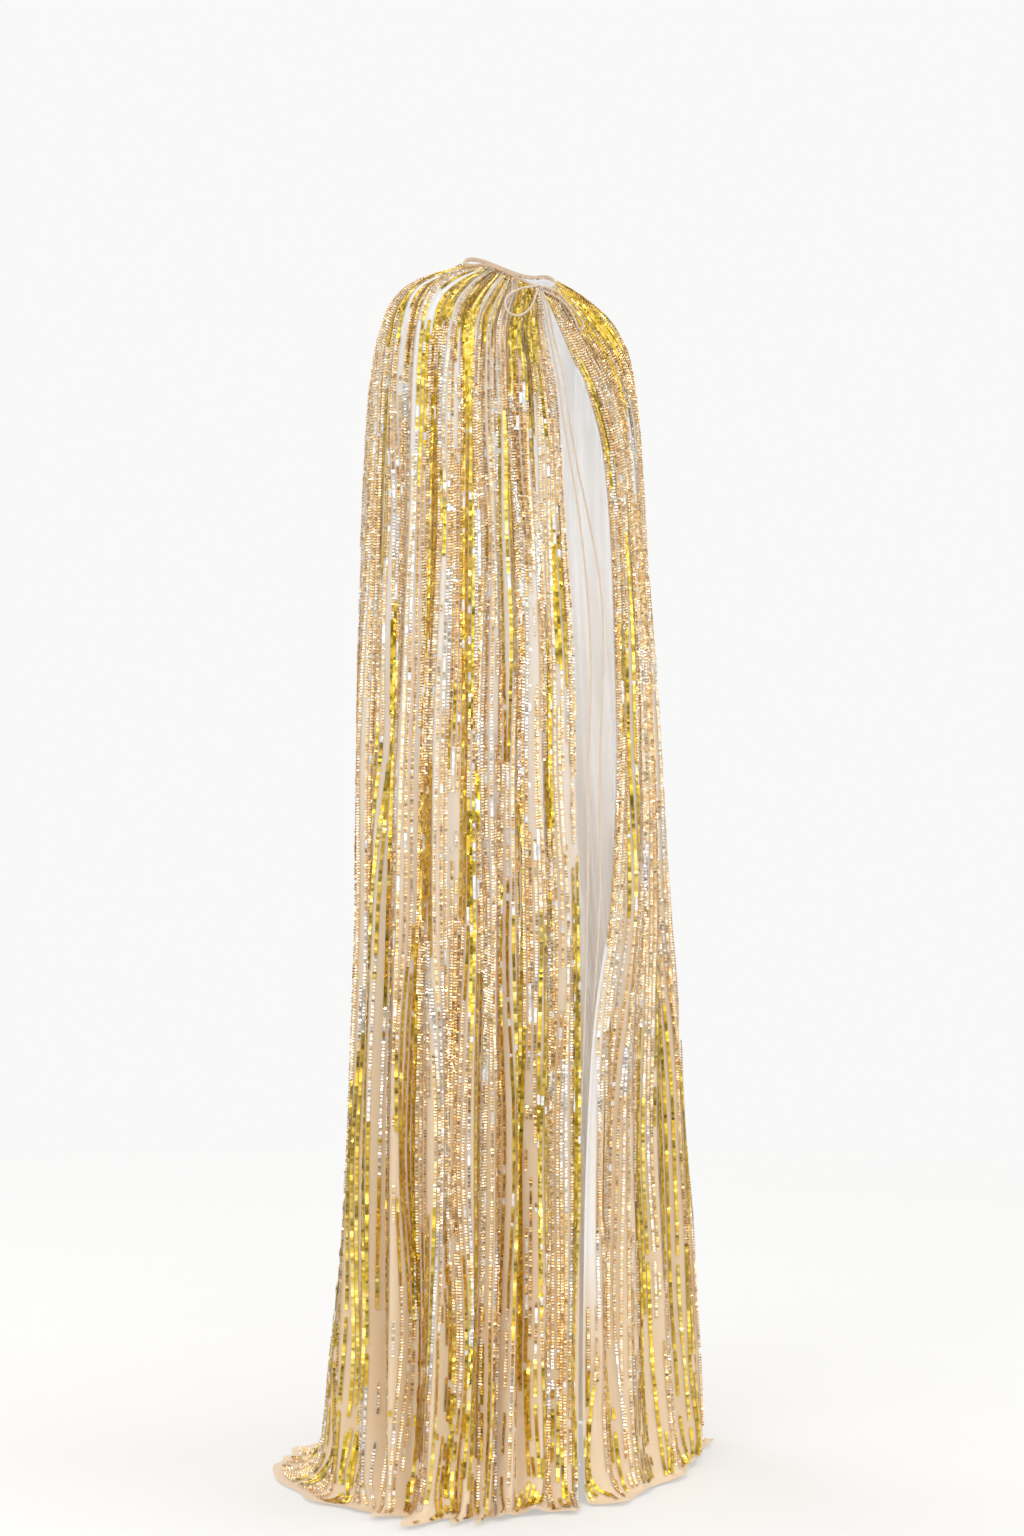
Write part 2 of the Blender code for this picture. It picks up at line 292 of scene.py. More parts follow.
tie_cord("right_loop", "bow_loop_right", RIGHT_LOOP, LOOP_POINTS, False)
tie_cord("left_loop", "bow_loop_left", LEFT_LOOP, LOOP_POINTS, False)
tie_cord("right_tail", "tie_tail_right", RIGHT_TAIL, TAIL_POINTS, True)
tie_cord("left_tail", "tie_tail_left", LEFT_TAIL, TAIL_POINTS, True)

# The knot of the bow: the same cord, drawn tight. Two turns pass round the crossing and one
# lies over them, and the cord's own bulk fills their middle.
knot_low, knot_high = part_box("bow_knot")
knot_centre = (knot_low + knot_high) / 2
KNOT_HEART = 0.0031
KNOT_TURNS = (
    # offset, turn about each axis in degrees, radius of the turn, half the cord's thickness
    ((-0.0013, 0.0000, 0.0002), (8, 82, 0), 0.0030, 0.0015),
    ((0.0014, 0.0000, -0.0002), (-6, 98, 10), 0.0030, 0.0015),
    ((0.0000, -0.0008, 0.0000), (78, 14, 0), 0.0027, 0.0013),
)
bpy.ops.object.select_all(action="DESELECT")
turns = []
for offset, tilt, radius, thickness in KNOT_TURNS:
    bpy.ops.mesh.primitive_torus_add(
        location=knot_centre + Vector(offset),
        rotation=[math.radians(angle) for angle in tilt],
        major_radius=radius, minor_radius=thickness,
        major_segments=32, minor_segments=12,
    )
    turns.append(bpy.context.object)
bpy.ops.mesh.primitive_uv_sphere_add(
    location=knot_centre, radius=KNOT_HEART, segments=20, ring_count=12
)
turns.append(bpy.context.object)
for turn in turns:
    turn.select_set(True)
bpy.ops.object.join()
knot = bpy.context.object
knot.name = "knot"
bpy.ops.object.transform_apply(location=True, rotation=True, scale=True)
bpy.ops.object.shade_smooth()
knot.data.materials.clear()
knot.data.materials.append(CORD_CREPE)
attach(knot, "root")
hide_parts("bow_knot")

# The cloth's form. It is gathered to a neck 380 mm round, falls from the shoulders in 28
# uneven folds, and spreads on the floor. Heights are above the floor, at the front, the sides
# and the back; "front" and "back" are depths from the neck's centre.
WALL = 0.0015
FOLD_COUNT = 28
RIGHT_SEAM_FOLD = 6 + 1 / 3
LEFT_SEAM_FOLD = 22 - 1 / 3
SECTIONS = (
    # front, side and back height, half width, shift, front, back, right edge, left edge,
    # depth of a fold, lying on the floor
    (1.541, 1.571, 1.593, 0.060, 0.000, 0.060, 0.058, -0.0130, -0.0030, 0.0000, 0.0),
    (1.522, 1.564, 1.574, 0.093, 0.002, 0.066, 0.070, -0.0105, 0.0060, 0.0036, 0.0),
    (1.494, 1.550, 1.556, 0.137, 0.004, 0.073, 0.092, -0.0140, 0.0160, 0.0048, 0.0),
    (1.456, 1.527, 1.528, 0.177, 0.005, 0.088, 0.112, -0.0225, 0.0225, 0.0060, 0.0),
    (1.408, 1.490, 1.490, 0.196, 0.003, 0.108, 0.132, -0.0310, 0.0310, 0.0072, 0.0),
    (1.340, 1.428, 1.428, 0.202, 0.001, 0.125, 0.149, -0.0400, 0.0400, 0.0085, 0.0),
    (1.255, 1.330, 1.330, 0.205, 0.000, 0.136, 0.160, -0.0430, 0.0430, 0.0098, 0.0),
    (1.160, 1.210, 1.210, 0.209, 0.000, 0.144, 0.166, -0.0420, 0.0420, 0.0110, 0.0),
    (1.045, 1.070, 1.070, 0.220, 0.002, 0.149, 0.162, -0.0390, 0.0390, 0.0125, 0.0),
    (0.900, 0.910, 0.910, 0.233, 0.004, 0.150, 0.152, -0.0380, 0.0390, 0.0145, 0.0),
    (0.750, 0.750, 0.750, 0.244, 0.010, 0.149, 0.144, -0.0320, 0.0290, 0.0165, 0.0),
    (0.600, 0.600, 0.600, 0.257, 0.018, 0.147, 0.145, -0.0280, -0.0010, 0.0190, 0.0),
    (0.440, 0.440, 0.440, 0.268, 0.025, 0.144, 0.160, -0.0250, -0.0120, 0.0215, 0.0),
    (0.290, 0.290, 0.290, 0.276, 0.031, 0.148, 0.184, -0.0275, -0.0205, 0.0240, 0.0),
    (0.150, 0.155, 0.160, 0.278, 0.033, 0.158, 0.210, -0.0385, -0.0325, 0.0255, 0.0),
    (0.055, 0.060, 0.070, 0.277, 0.033, 0.168, 0.232, -0.0480, -0.0400, 0.0250, 0.1),
    (0.015, 0.016, 0.022, 0.278, 0.031, 0.176, 0.252, -0.0560, -0.0450, 0.0190, 0.5),
    (0.003, 0.003, 0.004, 0.282, 0.029, 0.183, 0.276, -0.0620, -0.0480, 0.0110, 1.0),
    (0.002, 0.002, 0.002, 0.287, 0.028, 0.190, 0.304, -0.0680, -0.0500, 0.0080, 1.0),
)
HEM = len(SECTIONS) - 1
LEVEL_STEPS = 12
FOLD_STEPS = 48
QUARTER_SAMPLES = 160
# Waves round the cloak: how strong each is, how many go round, and where it starts
UNEVEN_SPACING = ((0.30, 3, 1.1), (0.18, 7, 4.0))
UNEVEN_DEPTH = ((0.30, 5, 0.6), (0.20, 9, 2.2))
# The folds fade out towards the front edges, and lie flat on the floor behind
EDGE_CALM = 1.5
FLAT_BEHIND = 0.85
BEHIND_FROM, BEHIND_FULL = 1 / 7, 6 / 7
level_table = np.linspace(0, HEM, HEM * LEVEL_STEPS + 1)
fold_table = np.linspace(0, FOLD_COUNT, FOLD_COUNT * FOLD_STEPS + 1)


def waves_round(fold, waves):
    """Waves added up round the cloak, at places counted in folds."""
    turn = 2 * np.pi * fold / FOLD_COUNT
    return sum(strength * np.sin(count * turn + start) for strength, count, start in waves)


def rising(values, start, end):
    """0 up to the start, 1 from the end on, and straight between them."""
    return np.clip((values - start) / (end - start), 0, 1)


def ring_of(section, shares):
    """Points of a section's smooth outline at shares of the cloth's width."""
    front_height, side_height, back_height, width, shift, front, back, right, left = section[:9]
    turn = math.pi / 2
    first = math.asin((shift - right) / width)
    last = 4 * turn - math.asin((left - shift) / width)
    corners = (first, turn, 2 * turn, 3 * turn, last)
    points, done = [], []
    for quarter, (start, end) in enumerate(zip(corners, corners[1:])):
        angle = np.linspace(start, end, QUARTER_SAMPLES + 1)
        ahead = np.cos(angle)
        depth = np.where(ahead > 0, front, back)
        end_height = np.where(ahead > 0, front_height, back_height)
        height = side_height + (end_height - side_height) * ahead**2
        places = np.column_stack(
            (shift - width * np.sin(angle), -depth * ahead, height - NECK_HEIGHT)
        )
        lengths = np.append(0, np.linalg.norm(np.diff(places, axis=0), axis=1).cumsum())
        points.append(places)
        done.append((quarter + lengths / lengths[-1]) / 4)
    points, done = np.concatenate(points), np.concatenate(done)
    return np.column_stack([np.interp(shares, done, points[:, axis]) for axis in range(3)])


def unit(vectors):
    return vectors / np.maximum(np.linalg.norm(vectors, axis=-1, keepdims=True), 1e-12)


def facing(points):
    """The direction out of a surface given as rows of levels by folds."""
    down, across = np.gradient(points, axis=0), np.gradient(points, axis=1)
    return unit(np.cross(across, down))


share_table = (
    fold_table + waves_round(fold_table, UNEVEN_SPACING) - waves_round(0.0, UNEVEN_SPACING)
) / FOLD_COUNT
sections = smooth_rows(SECTIONS, level_table)
smooth_cloth = np.array([ring_of(section, share_table) for section in sections])
smooth_out = facing(smooth_cloth)
fold_depth, lying = sections[:, 9:10], sections[:, 10:11]
from_left_edge = FOLD_COUNT - fold_table
from_edge = np.minimum(fold_table, from_left_edge)
fold_strength = 1 + waves_round(fold_table, UNEVEN_DEPTH)
fold_strength *= rising(from_edge, 0, EDGE_CALM)
wave = 0.5 - 0.5 * np.cos(2 * np.pi * fold_table)
behind = rising(np.sin(np.pi * fold_table / FOLD_COUNT), BEHIND_FROM, BEHIND_FULL)
flat_behind = 1 - FLAT_BEHIND * lying * behind
fold_offset = fold_depth * fold_strength * (wave - 0.5 * (1 - lying)) * flat_behind

# Finer creases between the folds: tight gathers below the neck that run out over the
# shoulders, long soft creases that split some of the folds lower down, and small folds along
# the left front's edge. Each keeps to its own levels, counted in sections from the neck.
GATHER_DEPTH = 0.0018
GATHERS_PER_FOLD = 3
GATHER_DRIFT = ((2.2, 4, 0.7),)
GATHER_EVEN, GATHER_STRENGTH = 0.7, ((0.3, 11, 1.0),)
GATHERS_START, GATHERS_FULL, GATHERS_FADE, GATHERS_END = 0, 0.8, 1.5, 5.5
CREASE_DEPTH = 0.0024
CREASES_PER_FOLD = 2
CREASE_DRIFT = ((1.6, 5, 0.0),)
CREASE_LEAN, CREASE_CHANGE = 0.12, 0.33
CREASE_EVEN, CREASE_UNEVEN, CREASE_PATCHES, CREASE_PATCH_START = 0.55, 0.45, 6, 0.5
CREASES_START, CREASES_FULL = 3, 8
FINE_CALM = 1.2
EDGE_DEPTH, EDGE_FOLD = 0.0035, 0.26
EDGE_START, EDGE_FULL, EDGE_FADE, EDGE_END = 10.5, 12.0, 14.0, 15.5
EDGE_REACH, EDGE_SOLID = 0.8, 0.3
levels_down = level_table[:, None]
turns_round = 2 * np.pi * fold_table / FOLD_COUNT
gathers = np.sin(
    2 * np.pi * GATHERS_PER_FOLD * fold_table + waves_round(fold_table, GATHER_DRIFT)
) * (GATHER_EVEN + waves_round(fold_table, GATHER_STRENGTH))
gather_reach = rising(levels_down, GATHERS_START, GATHERS_FULL)
gather_reach = gather_reach * rising(levels_down, GATHERS_END, GATHERS_FADE)
crease_patches = np.sin(
    turns_round * CREASE_PATCHES + CREASE_CHANGE * levels_down + CREASE_PATCH_START
)
creases = np.sin(
    2 * np.pi * CREASES_PER_FOLD * fold_table + waves_round(fold_table, CREASE_DRIFT)
    + CREASE_LEAN * levels_down
) * (CREASE_EVEN + CREASE_UNEVEN * crease_patches)
crease_reach = rising(levels_down, CREASES_START, CREASES_FULL) * (1 - lying)
fine_offset = rising(from_edge, 0, FINE_CALM) * (
    GATHER_DEPTH * gather_reach * gathers + CREASE_DEPTH * crease_reach * creases
)
edge_folds = np.sin(2 * np.pi * from_left_edge / EDGE_FOLD)
edge_folds = edge_folds * rising(from_left_edge, EDGE_REACH, EDGE_SOLID)
edge_reach = rising(levels_down, EDGE_START, EDGE_FULL)
edge_reach = edge_reach * rising(levels_down, EDGE_END, EDGE_FADE)
fine_offset = fine_offset + EDGE_DEPTH * edge_reach * edge_folds
cloth = smooth_cloth + smooth_out * (fold_offset + fine_offset)[..., None]

# The hem's spread on the floor: a lobe at each fold, a short train at the back, on the
# wearer's right, and tongues of cloth that slide further out than the rest
HEM_LOBE, LOBE_EVEN, LOBE_WAVES = 0.010, 0.8, ((0.5, 5, 2.0),)
HEM_WAVES = ((0.006, 4, 1.0),)
LOBE_LEVELS, WAVE_LEVELS, TRAIN_LEVELS = 2, 1, 3
TRAIN_REACH, TRAIN_BEARING, TRAIN_SPREAD = 0.034, math.radians(131), math.radians(26)
TRAIN_CURVE = 1.5
LOBES_LOST_IN_TRAIN = 0.8
HEM_TONGUES = (
    # fold, width in folds, reach
    (0.5, 0.35, 0.010), (2.6, 0.32, 0.024), (3.55, 0.30, 0.050), (4.5, 0.24, 0.036),
    (5.45, 0.34, 0.052), (6.5, 0.25, 0.022), (8.4, 0.40, 0.014), (12.6, 0.50, 0.012),
    (16.5, 0.60, 0.014), (19.4, 0.45, 0.012), (22.5, 0.40, 0.014), (25.5, 0.35, 0.012),
    (27.2, 0.45, 0.016),
)
lobe_at_fold = np.sin(np.pi * fold_table) ** 2 * (LOBE_EVEN + waves_round(fold_table, LOBE_WAVES))
spread_out = HEM_LOBE * lying * lobe_at_fold * rising(levels_down, HEM - LOBE_LEVELS, HEM)
hem_wave = lying * waves_round(fold_table, HEM_WAVES)
spread_out = spread_out + hem_wave * rising(levels_down, HEM - WAVE_LEVELS, HEM)
bearing = np.arctan2(cloth[-1, :, 1], cloth[-1, :, 0])
train = np.exp(-(((bearing - TRAIN_BEARING) / TRAIN_SPREAD) ** 2))
train_levels = rising(levels_down, HEM - TRAIN_LEVELS, HEM) ** TRAIN_CURVE
spread_out = spread_out * (1 - LOBES_LOST_IN_TRAIN * train) + TRAIN_REACH * train * train_levels
for fold, width, reach in HEM_TONGUES:
    spread_out = spread_out + reach * np.exp(-(((fold_table - fold) / width) ** 2)) * train_levels
cloth += unit(cloth * (1, 1, 0)) * spread_out[..., None]
cloth[..., 2] += WALL
cloth_out = facing(cloth)


def on_grid(grid, fold, level):
    """Values of a grid of levels by folds at any folds and levels."""
    column = np.clip(np.asarray(fold, float) * FOLD_STEPS, 0, grid.shape[1] - 1.001)
    row = np.clip(np.asarray(level, float) * LEVEL_STEPS, 0, grid.shape[0] - 1.001)
    left, top = column.astype(int), row.astype(int)
    over, under = (column - left)[..., None], (row - top)[..., None]
    upper = grid[top, left] * (1 - over) + grid[top, left + 1] * over
    lower = grid[top + 1, left] * (1 - over) + grid[top + 1, left + 1] * over
    return upper * (1 - under) + lower * under


# The neck binding: a beige crepe tape 4 mm high that takes the gathers, a little puckered by
# them, with a row of stitches through it. It is open at the throat, where the tie comes out.
BINDING_HEIGHT = 0.004
BINDING_THICKNESS = 0.0026
BINDING_LIFT = WALL + 0.0006
PUCKER = 0.00035
PUCKERS = 74
PUCKER_LOST = 0.7
TAPE_RIPPLE = 0.0002
TAPE_LEAN = 0.1
TAPE_EDGE = 0.0006
TAPE_COLUMNS, TAPE_ROWS = 592, 8
TAPE_CREPE = crepe("tape_crepe", (0.78, 0.60, 0.42), (0.62, 0.45, 0.29), 700.0)
neckline = smooth_cloth[0]
bpy.ops.object.select_all(action="DESELECT")
bpy.ops.mesh.primitive_grid_add(
    x_subdivisions=TAPE_COLUMNS, y_subdivisions=TAPE_ROWS, size=2, calc_uvs=True
)
tape = bpy.context.object
tape.name = "neck_tape"


def shares_of_grid(piece):
    """How far across a flat grid and up it each of its points lies, from 0 to 1."""
    points = np.empty(len(piece.data.vertices) * 3)
    piece.data.vertices.foreach_get("co", points)
    points = points.reshape(-1, 3)
    return (points[:, 0] + 1) / 2, (points[:, 1] + 1) / 2


def on_neckline(share):
    return np.column_stack([np.interp(share, share_table, neckline[:, k]) for k in range(3)])


def tape_place(share, up):
    """A point of the binding's middle layer: a share of the way round, and up its height."""
    base = on_neckline(share)
    puckered = np.sin(2 * np.pi * PUCKERS * share)
    rise = BINDING_LIFT + BINDING_HEIGHT * up + TAPE_RIPPLE * puckered * (up - 0.5)
    inwards = unit(base * (-1, -1, 0))
    drawn_in = TAPE_LEAN * rise + PUCKER * puckered * (1 - PUCKER_LOST * up)
    return base + inwards * drawn_in[:, None] + np.outer(rise, (0, 0, 1))


tape.data.vertices.foreach_set("co", tape_place(*shares_of_grid(tape)).ravel())
tape.data.update()
wall = tape.modifiers.new("wall", "SOLIDIFY")
wall.thickness = BINDING_THICKNESS
wall.offset = 0
rounded = tape.modifiers.new("rounded", "BEVEL")
rounded.width = TAPE_EDGE
rounded.segments = 2
rounded.limit_method = "ANGLE"
for modifier in ("wall", "rounded"):
    bpy.ops.object.modifier_apply(modifier=modifier)
bpy.ops.object.shade_smooth_by_angle(angle=math.radians(50))
tape.data.materials.append(TAPE_CREPE)
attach(tape, "root")
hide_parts("neck_binding")

# The binding's stitches: twisted beige thread, each stitch 2.4 mm long. They stand in a row
# a little below the middle of the tape, on its outer side.
STITCH_COUNT = 120
STITCH_LENGTH, STITCH_THICKNESS = 0.0024, 0.00045
STITCH_HEIGHT = 0.45
STITCH_AHEAD = 0.001
THREAD, thread_surface = new_material("thread", Roughness=0.5)
thread_place = add_node(THREAD.node_tree, "ShaderNodeTexCoord")
thread_twist = add_node(THREAD.node_tree, "ShaderNodeTexWave", inputs={"Scale": 2600.0})
link(thread_place.outputs["Object"], thread_twist.inputs["Vector"])
thread_tint = mix_colours(
    THREAD.node_tree, thread_twist.outputs["Fac"], (0.80, 0.67, 0.52, 1), (0.92, 0.84, 0.72, 1)
)
link(thread_tint, thread_surface.inputs["Base Color"])
stitches = []
for number in range(STITCH_COUNT):
    middle = (number + 0.5) / STITCH_COUNT
    ends = tape_place(
        np.array((middle - STITCH_AHEAD, middle + STITCH_AHEAD)), np.full(2, STITCH_HEIGHT)
    )
    along = Vector(ends[1] - ends[0]).normalized()
    place = (ends[0] + ends[1]) / 2
    out = Vector((place[0], place[1], 0)).normalized()
    bpy.ops.object.select_all(action="DESELECT")
    bpy.ops.mesh.primitive_uv_sphere_add(
        segments=8, ring_count=5, radius=0.5,
        location=Vector(place) + out * (BINDING_THICKNESS / 2),
        rotation=along.to_track_quat("X", "Z").to_euler(),
    )
    bpy.context.object.scale = (STITCH_LENGTH, STITCH_THICKNESS, STITCH_THICKNESS)
    stitches.append(bpy.context.object)
for stitch in stitches:
    stitch.select_set(True)
bpy.ops.object.join()
sewing = bpy.context.object
sewing.name = "neck_stitches"
bpy.ops.object.transform_apply(location=True, rotation=True, scale=True)
bpy.ops.object.shade_smooth()
sewing.data.materials.append(THREAD)
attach(sewing, "root")

# The tulle: nude net, one layer, in a back and two fronts joined at the shoulder lines, with
# its edges cut plain. The net is nearly closed. It is paler high up. Inside it is paler too, a
# painted brightness for light that comes through the net, and a pale band along the left
# front's edge as far as the shin is a painted highlight, where the folded edge catches light.
TULLE_COLOUR = (0.80, 0.60, 0.38, 1)
# Pale tulle: high up, inside as painted brightness, and along the left front's edge as a painted
# highlight
TULLE_PALE = (0.97, 0.96, 0.94, 1)
NET_CELLS = 1 / 0.0012
THREAD_EDGE, HOLE_EDGE = 0.10, 0.30
THREAD_ALPHA, HOLE_ALPHA = 0.94, 0.80
# Places on the cut, in metres: down from the neck, and across
PALE_TO, NUDE_FROM = 0.35, 1.15
# The painted highlight on the left front's folded edge: where it starts and is full across the
# cut, the nude it keeps, and where it ends down the cut
EDGE_HIGHLIGHT_FROM, EDGE_HIGHLIGHT_TO, EDGE_HIGHLIGHT_NUDE = 2.336, 2.362, 0.15
HIGHLIGHT_FOOT_FROM, HIGHLIGHT_FOOT_TO = 1.18, 1.28
# How much nude the inner side keeps: the rest is painted brightness for light coming through the
# net
INSIDE_NUDE = 0.35


def fade(tree, value, start, end, low=0.0, high=1.0):
    """Goes from low to high while another value goes from start to end."""
    node = add_node(tree, "ShaderNodeMapRange", inputs={
        "From Min": start, "From Max": end, "To Min": low, "To Max": high,
    })
    link(value, node.inputs["Value"])
    return node.outputs["Result"]


def of_two(tree, operation, first, second):
    """Two values multiplied, or the greater of them."""
    node = add_node(tree, "ShaderNodeMath", operation=operation)
    link(first, node.inputs[0])
    link(second, node.inputs[1])
    return node.outputs[0]


TULLE, tulle_surface = new_material("nude_tulle", Roughness=0.6, Sheen_Weight=0.3)
tulle_nodes = TULLE.node_tree
tulle_uv = add_node(tulle_nodes, "ShaderNodeUVMap", uv_map="cut")
net = add_node(
    tulle_nodes, "ShaderNodeTexVoronoi", voronoi_dimensions="2D", feature="DISTANCE_TO_EDGE",
    inputs={"Scale": NET_CELLS, "Randomness": 0.8},
)
link(tulle_uv.outputs["UV"], net.inputs["Vector"])
tulle_alpha = fade(
    tulle_nodes, net.outputs["Distance"], THREAD_EDGE, HOLE_EDGE, THREAD_ALPHA, HOLE_ALPHA
)
link(tulle_alpha, tulle_surface.inputs["Alpha"])
on_cut = add_node(tulle_nodes, "ShaderNodeSeparateXYZ")
link(tulle_uv.outputs["UV"], on_cut.inputs["Vector"])
across_cut, down_cut = on_cut.outputs["X"], on_cut.outputs["Y"]
side = add_node(tulle_nodes, "ShaderNodeNewGeometry")
low_down = fade(tulle_nodes, down_cut, PALE_TO, NUDE_FROM)
# Painted highlight: the left front's folded edge is paler down to the shin, as where it catches
# the light
off_edge_highlight = fade(tulle_nodes, across_cut, EDGE_HIGHLIGHT_FROM, EDGE_HIGHLIGHT_TO, 1.0, EDGE_HIGHLIGHT_NUDE)
below_edge_highlight = fade(tulle_nodes, down_cut, HIGHLIGHT_FOOT_FROM, HIGHLIGHT_FOOT_TO)
# Painted brightness: the inner side is paler, standing for light that comes through the net
outside = fade(tulle_nodes, side.outputs["Backfacing"], 0.0, 1.0, 1.0, INSIDE_NUDE)
nude_share = of_two(tulle_nodes, "MAXIMUM", off_edge_highlight, below_edge_highlight)
nude_share = of_two(tulle_nodes, "MULTIPLY", low_down, nude_share)
nude_share = of_two(tulle_nodes, "MULTIPLY", nude_share, outside)
tulle_tint = mix_colours(tulle_nodes, nude_share, TULLE_PALE, TULLE_COLOUR)
link(tulle_tint, tulle_surface.inputs["Base Color"])

ROWS_DOWN = 144
COLUMNS_PER_FOLD = 16
PANELS = (
    # name, first fold, last fold, the cut's left side on the cloth, its width and length, and
    # its area in square metres
    ("front_right", 0.0, RIGHT_SEAM_FOLD, 0.0, 0.55, 1.67, 0.555),
    ("back", RIGHT_SEAM_FOLD, LEFT_SEAM_FOLD, 0.6, 1.22, 1.72, 1.70),
    ("front_left", LEFT_SEAM_FOLD, float(FOLD_COUNT), 1.9, 0.48, 1.68, 0.645),
)
for name, first, last, cut_from, cut_width, cut_length, cut_area in PANELS:
    bpy.ops.object.select_all(action="DESELECT")
    bpy.ops.mesh.primitive_grid_add(
        x_subdivisions=round((last - first) * COLUMNS_PER_FOLD),
        y_subdivisions=ROWS_DOWN, size=2, calc_uvs=True,
    )
    panel = bpy.context.object
    panel.name = "tulle_" + name
    panel.data.name = panel.name
    across, up = shares_of_grid(panel)
    fold = first + (last - first) * across
    level = HEM * (1 - up)
    draped = on_grid(cloth, fold, level) - on_grid(cloth_out, fold, level) * WALL / 2
    panel.data.vertices.foreach_set("co", draped.ravel())
    uv_map = panel.data.uv_layers[0]
    uv_map.name = "cut"
    uv = np.empty(len(panel.data.loops) * 2)
    uv_map.data.foreach_get("uv", uv)
    uv = uv.reshape(-1, 2)
    uv[:, 0] = cut_from + uv[:, 0] * cut_width
    uv[:, 1] = (1 - uv[:, 1]) * cut_length
    uv_map.data.foreach_set("uv", uv.ravel())
    panel.data.flip_normals()
    panel.data.update()
    bpy.ops.object.shade_smooth()
    panel.data.materials.append(TULLE)
    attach(panel, "root")
    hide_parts(name)

# The strings of sequins: sewn down the tulle from the neck, about 4 mm apart, edge to edge
# at the neck. Each string changes along its length between champagne sequins set in a
# herringbone, flat yellow gold ones that lap like scales, silver ones, bare net, and single
# near-white sequins that are painted glints, standing for sequins that catch the light. The
# changes are kept for each 5 mm cell of each string.
STRINGS = 270
STRING_JITTER = 0.22
CELL = 0.005
SNUG = 1.2
LATE_START = 0.012
TONE_SPREAD = 1.35
BARE_HEM = 0.012
NOISE_CELLS = 128
SWAY = 2.8
SWAY_START, SWAY_FULL = 3, 6
SWAYS = (
    # noise seed, strings and levels to a wave, strength
    (31, 7.0, 1.7, 1.0),
    (32, 1.5, 1.1, 0.35),
)
draw = np.random.default_rng(11)
string_number = np.arange(STRINGS)
string_jitter = draw.uniform(-STRING_JITTER, STRING_JITTER, STRINGS)
string_share = (string_number + 0.5 + string_jitter) / STRINGS


def soft_noise(seed, across, along):
    """Smooth noise from 0 to 1, at places counted in its own cells."""
    table = np.random.default_rng(seed).random((NOISE_CELLS, NOISE_CELLS))
    column, row = np.floor(across).astype(int), np.floor(along).astype(int)
    over, under = across - column, along - row
    over, under = over * over * (3 - 2 * over), under * under * (3 - 2 * under)
    near, far = column % NOISE_CELLS, (column + 1) % NOISE_CELLS
    top, low = row % NOISE_CELLS, (row + 1) % NOISE_CELLS
    upper = table[near, top] * (1 - over) + table[far, top] * over
    lower = table[near, low] * (1 - over) + table[far, low] * over
    return upper * (1 - under) + lower * under


string_place, level_place = np.meshgrid(string_number, level_table, indexing="ij")
sway = sum(
    strength * (soft_noise(seed, string_place / wide, level_place / long) - 0.5)
    for seed, wide, long, strength in SWAYS
)
sway *= SWAY * rising(level_place, SWAY_START, SWAY_FULL)
string_folds = np.interp(string_share[:, None] + sway / STRINGS, share_table, fold_table)
string_line = on_grid(cloth, string_folds, level_place)
string_way = unit(np.gradient(string_line, axis=1))
string_run = np.linalg.norm(np.diff(string_line, axis=1), axis=2).cumsum(axis=1)
string_run = np.concatenate((np.zeros((STRINGS, 1)), string_run), axis=1)
string_length = string_run[:, -1]
string_spacing = np.linalg.norm(np.gradient(string_line, axis=0), axis=2)
cell_count = math.ceil(string_length.max() / CELL)
cell_run = (np.arange(cell_count) + 0.5) * CELL
cell_height = np.array([
    np.interp(cell_run, string_run[i], string_line[i, :, 2] + NECK_HEIGHT)
    for i in range(STRINGS)
])
across_cells, along_cells = np.meshgrid(string_number, cell_run, indexing="ij")

# What each cell holds. A kind comes where its noise passes a mark, which changes with the
# height above the floor.
BARE, CHAMPAGNE, GOLD, SILVER, PAINTED_GLINT = range(5)
# Noise seed, and how many strings wide and metres long its patches are
SILVER_PATCHES = (21, 1.4, 0.13)
GOLD_PATCHES = (22, 2.6, 0.40)
GAP_PATCHES = (23, 1.5, 0.24)
DASH_PATCHES = (24, 0.9, 0.020)
GLINT_PATCHES = (26, 0.7, 0.014)
GLINT_CLUSTERS = (27, 5.0, 0.22)
STRAY_PATCHES = (28, 0.7, 0.030)
# Heights above the floor, and the mark at each
SILVER_OVER = ((0.1, 0.6, 1.1, 1.40, 1.48), (0.77, 0.78, 0.83, 0.79, 1.0))
GOLD_OVER = ((0.5, 0.8, 1.3, 1.44, 1.52), (0.58, 0.69, 0.68, 0.66, 0.52))
GAPS_UNDER = ((0.0, 0.6, 1.2, 1.44, 1.50), (0.26, 0.25, 0.20, 0.20, 0.0))
DASHES_UNDER = ((0.0, 0.10, 0.25, 0.5), (0.34, 0.24, 0.10, 0.0))
GLINTS_RARER = ((1.38, 1.46), (0.0, 0.2))
CLUSTER_OVER, GLINT_IN_CLUSTER, GLINT_ELSEWHERE = 0.45, 0.82, 0.94
STRAY_OVER = 0.78
# Where the listed ribbons lie, in strings and heights, and how much the mark that gold's
# noise has to pass is raised there
NEAR_RIGHT, NEAR_LEFT = 79, 215
HAND_FROM, HAND_TO = 0.6, 1.46
HAND_RARER = 0.14


def patches(seed, strings_wide, metres_long):
    """Soft noise over all the cells."""
    return soft_noise(seed, across_cells / strings_wide, along_cells / metres_long)


def by_height(marks):
    return np.interp(cell_height, *marks)


kind = np.full(across_cells.shape, CHAMPAGNE)
kind[patches(*SILVER_PATCHES) > by_height(SILVER_OVER)] = SILVER
